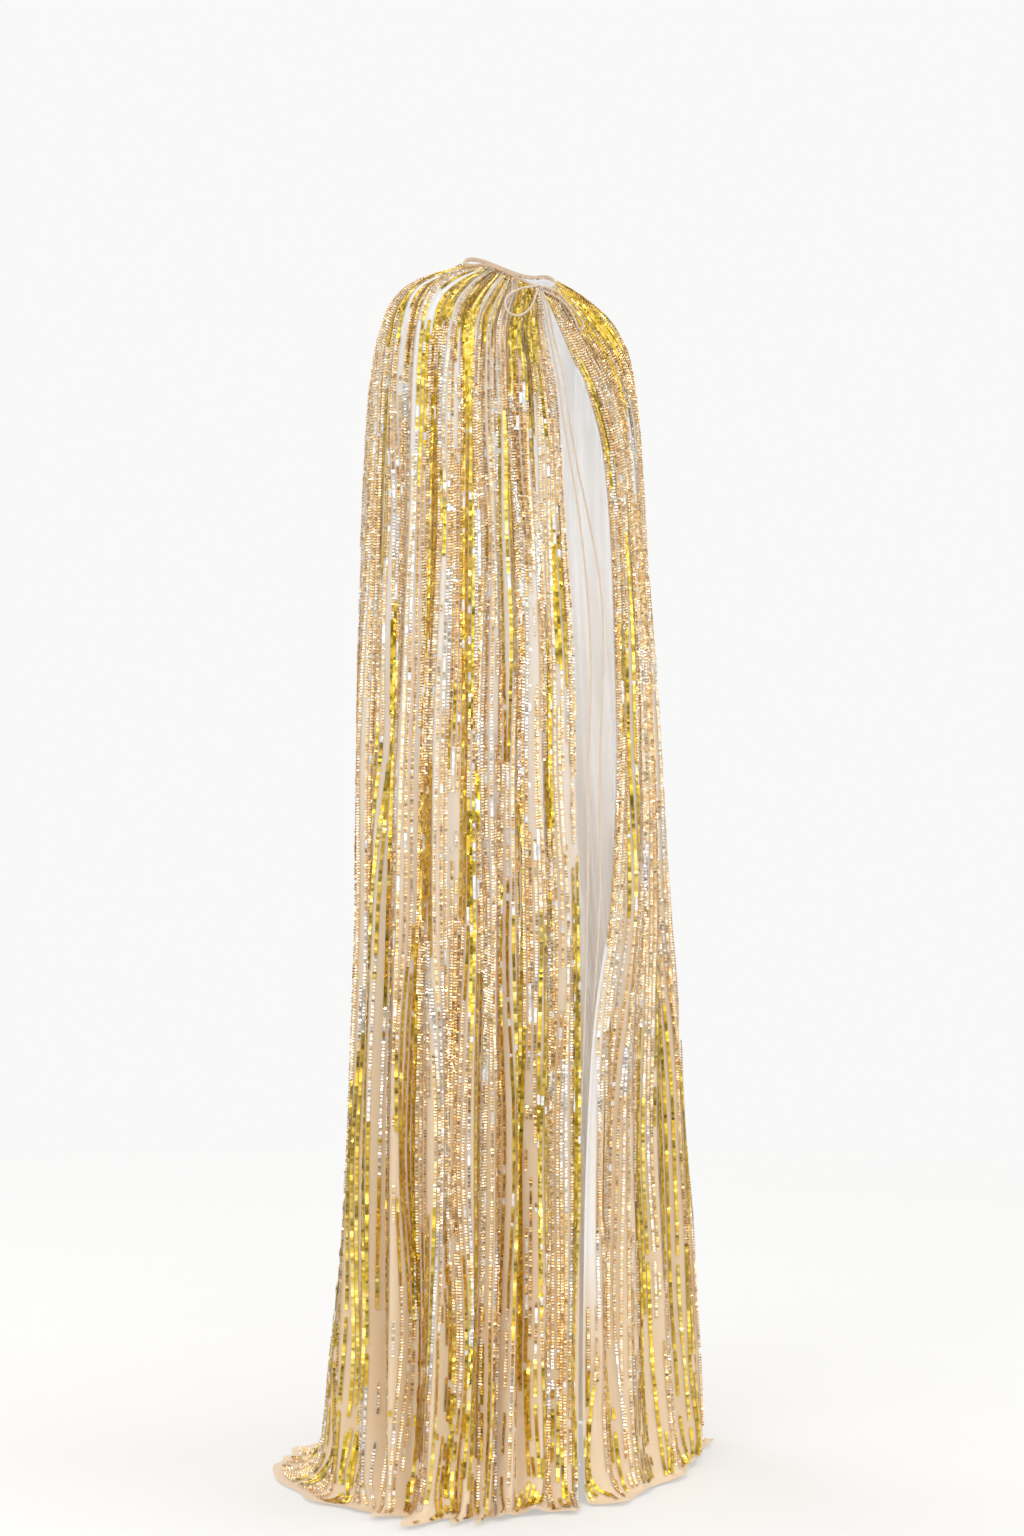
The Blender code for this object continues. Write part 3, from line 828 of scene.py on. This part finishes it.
# Painted glints: short runs of near-white sequins that stand for sequins catching the light
in_cluster = patches(*GLINT_CLUSTERS) > CLUSTER_OVER
glint_over = np.where(in_cluster, GLINT_IN_CLUSTER, GLINT_ELSEWHERE) + by_height(GLINTS_RARER)
white_glints = patches(*GLINT_PATCHES) > glint_over
kind[white_glints] = PAINTED_GLINT
near_side = (across_cells < NEAR_RIGHT) | (across_cells > NEAR_LEFT)
by_hand = near_side & (cell_height > HAND_FROM)
by_hand &= (cell_height < HAND_TO) | (across_cells > NEAR_LEFT)
kind[patches(*GOLD_PATCHES) > by_height(GOLD_OVER) + HAND_RARER * by_hand] = GOLD
strays = patches(*STRAY_PATCHES) > STRAY_OVER
kind[(patches(*GAP_PATCHES) < by_height(GAPS_UNDER)) & ~strays] = BARE

# Ribbons of two strings or more that stay alike for a long way, listed one by one for the
# cloak's front and right side. Their ends are ragged.
RIBBON_RAGGED = 0.06
RIBBONS = (
    # kind, first and last string, from and to height above the floor
    (GOLD, 7, 22, 1.56, 1.40),
    (GOLD, 29, 31, 1.59, 1.49),
    (GOLD, 34, 36, 1.59, 1.47),
    (GOLD, 45, 47, 1.59, 1.48),
    (GOLD, 52, 54, 1.59, 1.46),
    (GOLD, 62, 65, 1.59, 1.44),
    (GOLD, 70, 72, 1.59, 1.49),
    (GOLD, 244, 245, 1.59, 1.40),
    (GOLD, 232, 233, 1.57, 1.42),
    (GOLD, 224, 225, 1.50, 1.25),
    (GOLD, 252, 254, 1.59, 1.46),
    (BARE, 56, 58, 1.56, 1.44),
    (BARE, 67, 68, 1.56, 1.45),
    (GOLD, 12, 14, 1.41, 1.27),
    (GOLD, 24, 27, 1.37, 1.08),
    (GOLD, 3, 6, 1.24, 1.05),
    (GOLD, 39, 42, 1.56, 0.93),
    (GOLD, 73, 75, 1.46, 1.22),
    (GOLD, 57, 59, 1.45, 1.29),
    (GOLD, 51, 54, 1.40, 1.07),
    (GOLD, 48, 49, 1.27, 1.20),
    (GOLD, 66, 69, 1.13, 1.01),
    (GOLD, 68, 71, 0.95, 0.66),
    (GOLD, 49, 54, 0.90, 0.72),
    (GOLD, 49, 50, 0.72, 0.66),
    (GOLD, 62, 66, 0.71, 0.57),
    (GOLD, 55, 58, 0.69, 0.30),
    (GOLD, 50, 54, 0.33, 0.02),
    (GOLD, 61, 65, 0.38, 0.01),
    (GOLD, 44, 45, 1.02, 0.96),
    (GOLD, 36, 38, 0.91, 0.84),
    (GOLD, 38, 40, 0.83, 0.58),
    (GOLD, 36, 37, 0.56, 0.25),
    (GOLD, 39, 40, 0.26, 0.01),
    (GOLD, 26, 27, 1.09, 0.93),
    (GOLD, 22, 23, 0.93, 0.79),
    (GOLD, 24, 27, 0.78, 0.25),
    (GOLD, 31, 33, 0.20, 0.01),
    (GOLD, 9, 10, 1.09, 0.99),
    (GOLD, 8, 12, 0.99, 0.81),
    (GOLD, 12, 16, 0.74, 0.25),
    (GOLD, 14, 15, 0.19, 0.05),
    (GOLD, 0, 3, 0.78, 0.02),
    (GOLD, 266, 267, 1.50, 1.40),
    (GOLD, 262, 268, 1.41, 1.34),
    (GOLD, 261, 264, 1.34, 1.22),
    (GOLD, 258, 266, 1.12, 0.98),
    (GOLD, 257, 261, 0.98, 0.77),
    (GOLD, 238, 243, 0.68, 0.46),
    (GOLD, 232, 235, 0.56, 0.20),
    (GOLD, 248, 250, 0.35, 0.04),
    (GOLD, 253, 254, 0.21, 0.07),
    (BARE, 43, 44, 0.94, 0.80),
    (BARE, 30, 31, 1.14, 0.90),
    (BARE, 29, 31, 1.38, 1.22),
    (BARE, 44, 45, 1.47, 1.36),
    (BARE, 17, 18, 1.10, 0.79),
    (BARE, 42, 43, 0.55, 0.33),
    (BARE, 6, 7, 0.73, 0.61),
    (BARE, 18, 19, 0.58, 0.34),
    (BARE, 20, 24, 0.16, 0.02),
    (BARE, 248, 250, 0.84, 0.69),
    (SILVER, 46, 47, 1.12, 0.94),
    (SILVER, 19, 20, 1.07, 0.98),
    (SILVER, 47, 49, 0.62, 0.52),
    (SILVER, 66, 68, 0.68, 0.47),
    (SILVER, 50, 52, 0.66, 0.56),
)
ragged = draw.uniform(-RIBBON_RAGGED, RIBBON_RAGGED, STRINGS)
ragged_height = cell_height + ragged[:, None]
for ribbon, first, last, top, foot in RIBBONS:
    within = (across_cells >= first) & (across_cells <= last)
    within &= (ragged_height < top) & (ragged_height > foot) & ~white_glints
    if ribbon == BARE:
        within &= ~strays
    kind[within] = ribbon

# Near the floor the strings break into dashes, and they end short of the hem. Every other one
# starts a little below the neck.
START_LEAST, START_MORE = 0.6, 0.8
kind[patches(*DASH_PATCHES) < by_height(DASHES_UNDER)] = BARE
kind[along_cells > string_length[:, None] - BARE_HEM] = BARE
late_start = LATE_START * (START_LEAST + START_MORE * draw.random(STRINGS))
string_start = np.where(string_number % 2 == 0, 0.0, late_start)
kind[along_cells < string_start[:, None]] = BARE

# The left front's edge is a bare band of folded net from the thigh to the shin
BAND_TOP, BAND_FOOT = 0.70, 0.24
BAND_STRINGS = 3
at_band = (cell_height < BAND_TOP) & (cell_height > BAND_FOOT)
kind[at_band & (across_cells >= STRINGS - BAND_STRINGS)] = BARE

# The sequins: flat six-sided film pieces, each sewn with the next one lapping it. They follow
# the string, tip a little one by one, and wander softly together.
SEQUIN_SIDES = 6
SEQUIN_CORNERS = np.deg2rad(np.arange(SEQUIN_SIDES) * 360 / SEQUIN_SIDES + 30)
SEQUIN_LIFT = 0.0004
SEQUIN_SHIFT = 0.0002
WANDER_HEIGHTS = (0.75, 1.15)
# How many strings wide a patch is that rolls, tips or has a tone alike, and how long the last
ROLL_STRINGS, TIP_STRINGS, TONE_STRINGS, TONE_LENGTH = 1.0, 1.3, 0.9, 0.20


def turned(vectors, axis, angle):
    """Vectors turned about unit axes that are square to them."""
    return vectors * np.cos(angle)[:, None] + np.cross(axis, vectors) * np.sin(angle)[:, None]


def sequins_of(which, pitch, width, length, herringbone, lap, wander, alone, alike, seed):
    """Every sequin of one kind: its fold, its corners and its tone."""
    chance = np.random.default_rng(seed)
    steps = math.ceil(string_length.max() / pitch)
    run = (np.arange(steps) + 0.5) * pitch + np.zeros((STRINGS, 1))
    cell = np.minimum((run / CELL).astype(int), cell_count - 1)
    string = np.repeat(string_number[:, None], steps, 1)
    kept = (kind[string, cell] == which) & (run < string_length[:, None] - BARE_HEM)
    level = np.array([np.interp(run[i], string_run[i], level_table) for i in range(STRINGS)])
    fold = np.array([np.interp(run[i], string_run[i], string_folds[i]) for i in range(STRINGS)])
    order = np.repeat(np.arange(steps)[None], STRINGS, 0)[kept]
    string, run, level, fold = string[kept], run[kept], level[kept], fold[kept]
    cloth_way = unit(on_grid(cloth_out, fold, level))
    place = on_grid(cloth, fold, level)
    wander = np.interp(place[:, 2] + NECK_HEIGHT, WANDER_HEIGHTS, wander)
    nearest = np.rint(level * LEVEL_STEPS).astype(int)
    spacing = string_spacing[string, nearest] * np.where(run < LATE_START, 2, 1)
    width = np.minimum(width, SNUG * spacing)
    down = string_way[string, nearest]
    down = unit(down - cloth_way * (down * cloth_way).sum(axis=1, keepdims=True))
    across = np.cross(down, cloth_way)
    count = len(place)
    roll = np.where(order % 2 == 0, 1, -1) * herringbone
    roll = roll + wander * (2 * soft_noise(seed + 1, string / ROLL_STRINGS, run / alike) - 1)
    roll = roll + alone * chance.uniform(-1, 1, count)
    tip = lap + wander * (2 * soft_noise(seed + 2, string / TIP_STRINGS, run / alike) - 1)
    tip = tip + alone * chance.uniform(-1, 1, count)
    across, out = turned(across, down, roll), turned(cloth_way, down, roll)
    down, out = turned(down, across, tip), turned(out, across, tip)
    lift = SEQUIN_LIFT + abs(np.sin(roll)) * width / 2 + abs(np.sin(tip)) * length / 2
    place = place + cloth_way * lift[:, None]
    place = place + across * (chance.uniform(-1, 1, count) * SEQUIN_SHIFT)[:, None]
    corners = place[:, None] + (
        across[:, None] * (np.outer(width / 2, np.cos(SEQUIN_CORNERS)))[..., None]
        + down[:, None] * (np.sin(SEQUIN_CORNERS) * length / 2)[None, :, None]
    )
    face_way = np.cross(corners[:, 1] - corners[:, 0], corners[:, 2] - corners[:, 0])
    facing_in = (face_way * out).sum(axis=1) < 0
    corners[facing_in] = corners[facing_in][:, ::-1]
    tone = 0.5 * chance.random(count)
    tone = tone + 0.5 * soft_noise(seed + 3, string / TONE_STRINGS, run / TONE_LENGTH)
    tone = 0.5 + TONE_SPREAD * (tone - 0.5)
    return fold, corners, tone


def sequin_mesh(name, corners, tone, material):
    """One piece of many flat six-sided sequins, each with its own tone."""
    count = len(corners)
    corner_count = count * SEQUIN_SIDES
    mesh = bpy.data.meshes.new(name)
    mesh.vertices.add(corner_count)
    mesh.vertices.foreach_set("co", corners.astype(np.float32).ravel())
    mesh.loops.add(corner_count)
    mesh.loops.foreach_set("vertex_index", np.arange(corner_count, dtype=np.int32))
    mesh.polygons.add(count)
    mesh.polygons.foreach_set("loop_start", np.arange(count, dtype=np.int32) * SEQUIN_SIDES)
    mesh.update(calc_edges=True)
    shade = mesh.attributes.new("tone", "FLOAT", "POINT")
    shade.data.foreach_set("value", np.repeat(tone, SEQUIN_SIDES).astype(np.float32))
    mesh.materials.append(material)
    piece = bpy.data.objects.new(name, mesh)
    bpy.context.scene.collection.objects.link(piece)
    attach(piece, "root")
    return piece


# Foil's sheen: its colour goes over three tones, and its gloss changes with it
SHEEN, sheen_in, sheen_out = new_group(
    "foil_sheen",
    {"Tone": "Float", "Deep": "Color", "Middle": "Color", "Light": "Color",
     "Glossy": "Float", "Dull": "Float"},
    {"Colour": "Color", "Roughness": "Float"},
)
sheen_tone = sheen_in.outputs["Tone"]
deep_to_middle = mix_colours(
    SHEEN, fade(SHEEN, sheen_tone, 0.0, 0.5), sheen_in.outputs["Deep"],
    sheen_in.outputs["Middle"],
)
sheen_tint = mix_colours(
    SHEEN, fade(SHEEN, sheen_tone, 0.5, 1.0), deep_to_middle, sheen_in.outputs["Light"]
)
link(sheen_tint, sheen_out.inputs["Colour"])
sheen_gloss = add_node(SHEEN, "ShaderNodeMapRange")
link(sheen_tone, sheen_gloss.inputs["Value"])
link(sheen_in.outputs["Glossy"], sheen_gloss.inputs["To Min"])
link(sheen_in.outputs["Dull"], sheen_gloss.inputs["To Max"])
link(sheen_gloss.outputs["Result"], sheen_out.inputs["Roughness"])


def foil(name, tones, rough, metal):
    """Metal foil on film: the colour and the gloss differ from sequin to sequin."""
    material, surface = new_material(name, Metallic=metal, Coat_Weight=0.5, Coat_Roughness=0.08)
    tone = add_node(material.node_tree, "ShaderNodeAttribute", attribute_name="tone")
    deep, middle, light = tones
    sheen = add_node(material.node_tree, "ShaderNodeGroup", node_tree=SHEEN, inputs={
        "Deep": (*deep, 1), "Middle": (*middle, 1), "Light": (*light, 1),
        "Glossy": rough[0], "Dull": rough[1],
    })
    link(tone.outputs["Fac"], sheen.inputs["Tone"])
    link(sheen.outputs["Colour"], surface.inputs["Base Color"])
    link(sheen.outputs["Roughness"], surface.inputs["Roughness"])
    return material


SEQUIN_KINDS = (
    # name, kind, pitch, width and length in metres, herringbone and lap in degrees, how far
    # neighbours wander together low down and high up and each one alone in degrees, how long
    # a stretch lies alike, the foil's tones, its least and most roughness, how metallic it is
    ("champagne", CHAMPAGNE, 0.0018, 0.0043, 0.0027, 27, 10, 7, 6, 5, 0.010,
     ((0.66, 0.34, 0.07), (0.88, 0.62, 0.29), (1.00, 0.93, 0.78)), (0.14, 0.30), 1.0),
    ("gold", GOLD, 0.0034, 0.0052, 0.0050, 0, 5, 12, 6, 4, 0.012,
     ((0.54, 0.33, 0.01), (0.72, 0.48, 0.03), (0.96, 0.78, 0.24)), (0.14, 0.28), 1.0),
    ("silver", SILVER, 0.0021, 0.0040, 0.0030, 24, 8, 9, 9, 6, 0.010,
     ((0.66, 0.62, 0.56), (0.88, 0.85, 0.80), (0.98, 0.98, 0.97)), (0.14, 0.28), 1.0),
    # painted glints: near-white, barely metallic sequins that stand for sequins catching the
    # light
    ("white", PAINTED_GLINT, 0.0030, 0.0042, 0.0046, 0, 5, 10, 10, 5, 0.014,
     ((0.93, 0.90, 0.85), (0.97, 0.96, 0.93), (0.99, 0.99, 0.99)), (0.20, 0.34), 0.35),
)
BACK_MIDDLE_FOLD = FOLD_COUNT / 2
STRETCHES = (
    ("front_right", 0.0, RIGHT_SEAM_FOLD),
    ("back_right", RIGHT_SEAM_FOLD, BACK_MIDDLE_FOLD),
    ("back_left", BACK_MIDDLE_FOLD, LEFT_SEAM_FOLD),
    ("front_left", LEFT_SEAM_FOLD, FOLD_COUNT + 1.0),
)
FIRST_SEED, SEED_STEP = 40, 10
for number, row in enumerate(SEQUIN_KINDS):
    name, which, pitch, width, length, *angles, alike, tones, rough, metal = row
    herringbone, lap, *wander, alone = np.deg2rad(angles)
    material = foil(name + "_foil", tones, rough, metal)
    fold, corners, tone = sequins_of(
        which, pitch, width, length, herringbone, lap, wander, alone, alike,
        FIRST_SEED + SEED_STEP * number,
    )
    for stretch, first, last in STRETCHES:
        inside = (fold >= first) & (fold < last)
        sequin_mesh(name + "_sequins_" + stretch, corners[inside], tone[inside], material)

# The floor: a plain pale disc whose rim melts into the white round it
FLOOR_RADIUS = 4.0
FLOOR_FADE_FROM, FLOOR_FADE_TO = 1.9, 3.7
FLOOR_DROP = 0.0005
bpy.ops.object.select_all(action="DESELECT")
bpy.ops.mesh.primitive_circle_add(
    vertices=96, radius=FLOOR_RADIUS, fill_type="NGON",
    location=(0, 0, -NECK_HEIGHT - FLOOR_DROP),
)
floor = bpy.context.object
floor.name = "floor"
bpy.ops.object.transform_apply(location=True, rotation=True, scale=True)
FLOOR, floor_surface = new_material(
    "pale_floor", Base_Color=(0.62, 0.615, 0.605, 1), Roughness=0.65,
    Emission_Color=(1, 1, 1, 1), Emission_Strength=0.22,
)
floor_place = add_node(FLOOR.node_tree, "ShaderNodeTexCoord")
floor_reach = add_node(FLOOR.node_tree, "ShaderNodeVectorMath", operation="LENGTH")
link(floor_place.outputs["Object"], floor_reach.inputs[0])
floor_alpha = fade(
    FLOOR.node_tree, floor_reach.outputs["Value"], FLOOR_FADE_FROM, FLOOR_FADE_TO, 1.0, 0.0
)
link(floor_alpha, floor_surface.inputs["Alpha"])
floor.data.materials.append(FLOOR)

# The white room, which the lens sees as plain white. To the cloak it is dim below, bright
# above, and patchy, so that neighbouring sequins catch different lights.
ROOM_SEEN = (0.945, 0.945, 0.94, 1)
ROOM_HEIGHTS = (
    # how high the room is looked at, from 0 straight down to 1 straight up, and its colour
    (0.31, (0.09, 0.08, 0.07, 1)),
    (0.69, (0.70, 0.70, 0.70, 1)),
    (0.97, (1.8, 1.8, 1.8, 1)),
)
PATCH_SCALE = 3.0
PATCH_FROM, PATCH_TO, PATCH_DIM, PATCH_BRIGHT = 0.38, 0.62, 0.20, 1.60
world = bpy.data.worlds.new("white_room")
world.use_nodes = True
bpy.context.scene.world = world
sky = world.node_tree
sky.nodes.clear()
sky_output = add_node(sky, "ShaderNodeOutputWorld")
seen = add_node(sky, "ShaderNodeBackground", inputs={"Color": ROOM_SEEN})
lit = add_node(sky, "ShaderNodeBackground")
way = add_node(sky, "ShaderNodeTexCoord")
way_parts = add_node(sky, "ShaderNodeSeparateXYZ")
link(way.outputs["Generated"], way_parts.inputs["Vector"])
room_ramp = add_node(sky, "ShaderNodeValToRGB")
room_stops = room_ramp.color_ramp.elements
for number, (position, colour) in enumerate(ROOM_HEIGHTS):
    is_there = number < len(room_stops)
    stop = room_stops[number] if is_there else room_stops.new(position)
    stop.position = position
    stop.color = colour
link(fade(sky, way_parts.outputs["Z"], -1.0, 1.0), room_ramp.inputs["Fac"])
link(room_ramp.outputs["Color"], lit.inputs["Color"])
room_patches = add_node(
    sky, "ShaderNodeTexNoise", inputs={"Scale": PATCH_SCALE, "Detail": 1.0}
)
link(way.outputs["Generated"], room_patches.inputs["Vector"])
room_strength = fade(
    sky, room_patches.outputs["Fac"], PATCH_FROM, PATCH_TO, PATCH_DIM, PATCH_BRIGHT
)
link(room_strength, lit.inputs["Strength"])
ray = add_node(sky, "ShaderNodeLightPath")
either = add_node(sky, "ShaderNodeMixShader")
link(ray.outputs["Is Camera Ray"], either.inputs["Fac"])
link(lit.outputs["Background"], either.inputs[1])
link(seen.outputs["Background"], either.inputs[2])
link(either.outputs["Shader"], sky_output.inputs["Surface"])


# The lamps: four large soft boxes, nine small lamps in an arc that make the sequins glint,
# and six weak ones down the middle of the cloak that light its inner side
def add_lamp(name, kind, place, watts, aims_at=None, **settings):
    """A lamp that the lens doesn't see, turned to what it aims at."""
    lamp_data = bpy.data.lights.new(name, kind)
    lamp_data.energy = watts
    for setting, value in settings.items():
        setattr(lamp_data, setting, value)
    lamp = bpy.data.objects.new(name, lamp_data)
    lamp.location = place
    if aims_at is not None:
        aim = Vector(aims_at) - Vector(place)
        lamp.rotation_euler = aim.to_track_quat("-Z", "Y").to_euler()
    lamp.visible_camera = False
    bpy.context.scene.collection.objects.link(lamp)


SOFT_BOXES = (
    # place, aims at, width, height, watts
    ((-3.6, -1.0, -0.1), (0.0, 0.0, -0.8), 2.4, 3.0, 19.0),
    ((-0.6, -4.0, -0.1), (0.0, 0.0, -0.8), 2.4, 3.0, 18.0),
    ((3.2, -2.4, -0.1), (0.0, 0.0, -0.8), 2.0, 3.0, 9.0),
    ((0.4, 3.6, 0.9), (0.0, 0.0, -0.6), 3.0, 2.6, 18.0),
)
for number, (place, target, width, height, power) in enumerate(SOFT_BOXES):
    add_lamp(
        f"softbox_{number}", "AREA", place, power, target,
        shape="RECTANGLE", size=width, size_y=height,
    )
SPARK_COUNT, SPARK_SIZE, SPARK_WATTS, SPARK_DISTANCE = 9, 0.22, 5.0, 4.2
SPARK_STEP = math.radians(20)
SPARK_HEIGHTS = (-0.2, 0.7, 1.5)
SPARK_AIM = (0.0, 0.0, -0.8)
camera_bearing = math.atan2(CAMERA_PLACE[1], CAMERA_PLACE[0])
for number in range(SPARK_COUNT):
    bearing = camera_bearing + SPARK_STEP * (number - SPARK_COUNT // 2)
    place = (
        SPARK_DISTANCE * math.cos(bearing), SPARK_DISTANCE * math.sin(bearing),
        SPARK_HEIGHTS[number % len(SPARK_HEIGHTS)],
    )
    add_lamp(f"spark_{number}", "AREA", place, SPARK_WATTS, SPARK_AIM, size=SPARK_SIZE)
INNER_COLOUR = (0.88, 0.97, 1.10)
INNER_SIZE = 0.06
INNER_LAMPS = (
    # height above the floor, watts
    (1.42, 0.18), (1.20, 0.28), (0.95, 0.28), (0.70, 0.20), (0.42, 0.12), (0.17, 0.04),
)
for number, (height, power) in enumerate(INNER_LAMPS):
    add_lamp(
        f"inner_{number}", "POINT", (0.0, 0.0, height - NECK_HEIGHT), power,
        shadow_soft_size=INNER_SIZE, color=INNER_COLOUR,
    )
bpy.context.scene.view_settings.view_transform = "Standard"
